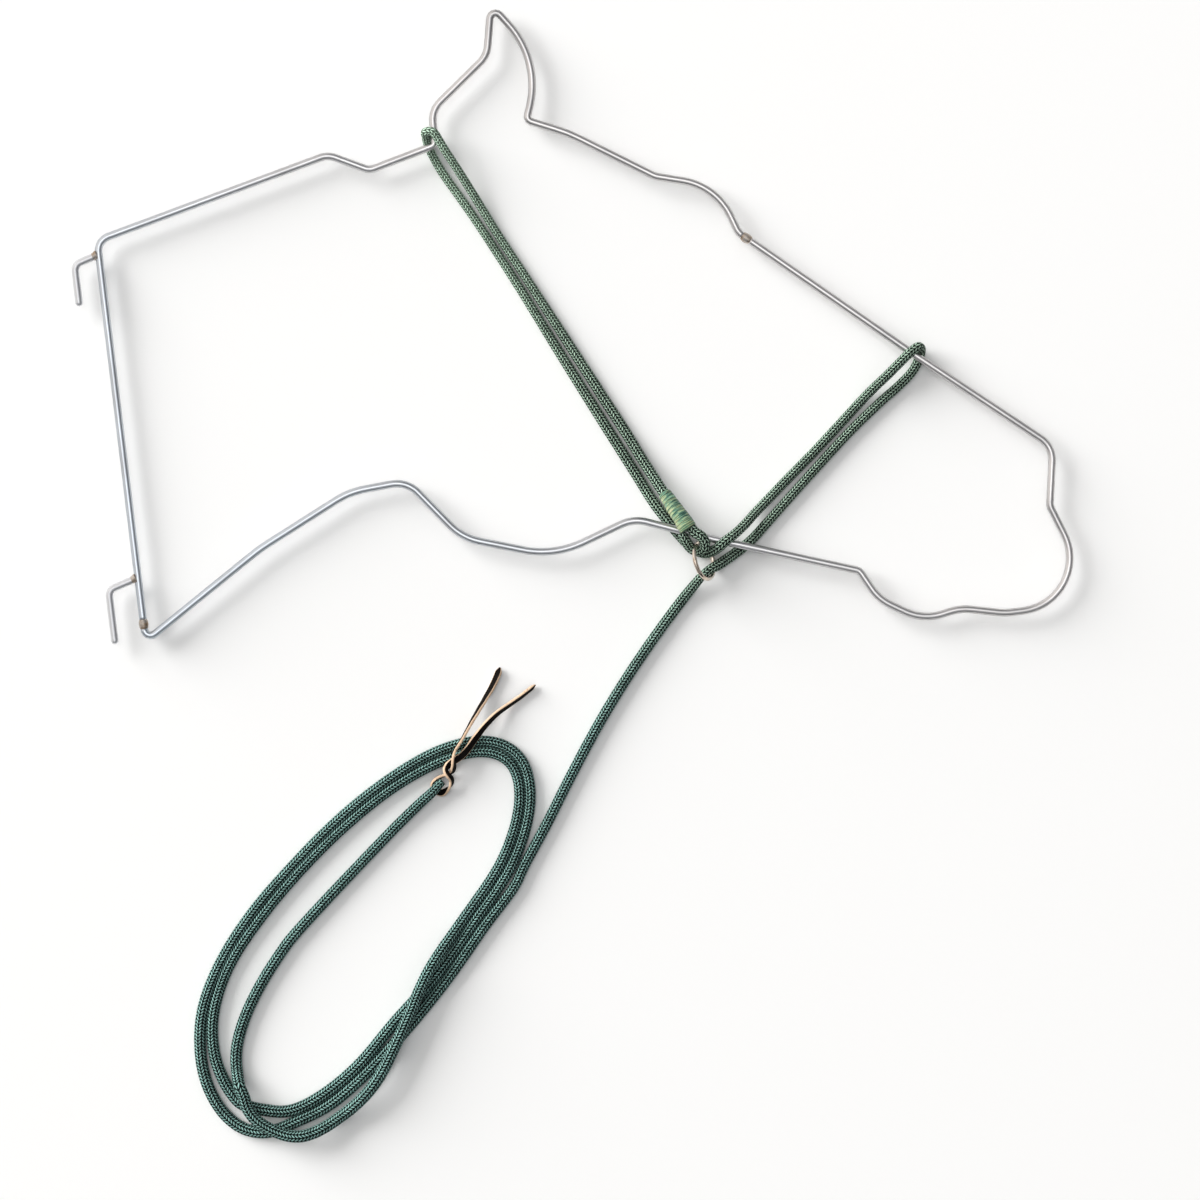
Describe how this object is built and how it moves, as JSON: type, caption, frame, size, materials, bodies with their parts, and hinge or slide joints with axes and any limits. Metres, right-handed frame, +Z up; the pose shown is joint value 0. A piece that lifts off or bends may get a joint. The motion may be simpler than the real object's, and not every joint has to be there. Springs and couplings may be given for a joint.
{
  "type": "rope halter on a display hanger",
  "caption": "Braided rope horse halter with a ring, whipping, coiled lead and leather popper, laid over a bent-wire horse-head display hanger with side hooks.",
  "frame": {"origin": "centre of the hanger's box, on the table's plane", "axes": "+Z up from the table, towards the viewer; +X towards the horse's nose, hooks on -X; +Y towards the ear"},
  "size_m": [0.9074, 1.0347, 0.0348],
  "materials": {
    "hanger_wire": "bright drawn wire",
    "weld_metal": "satin weld",
    "braided_rope": "woven braid",
    "whipping_thread": "wound thread",
    "ring_metal": "polished, warm",
    "strap_leather": "waxed, with pale cut edges"
  },
  "bodies": {
    "halter": {"neck_wire": "hanger_wire", "face_wire": "hanger_wire", "brow_weld": "weld_metal", "base_weld": "weld_metal", "upper_hook": "hanger_wire", "lower_hook": "hanger_wire", "upper_hook_weld": "weld_metal", "lower_hook_weld": "weld_metal", "crown_rope": "braided_rope", "nose_rope": "braided_rope", "whipping": "whipping_thread", "lead_rope": "braided_rope", "lead_coil": "braided_rope", "popper": "strap_leather"},
    "ring": {"ring": "ring_metal"}
  },
  "joints": [
    {"name": "ring_spin", "type": "hinge", "parent": "halter", "child": "ring", "pos_m": [0.108, -0.2251, 0.01716], "axis": [0.858, 0.1175, 0.5], "continuous": true}
  ]
}
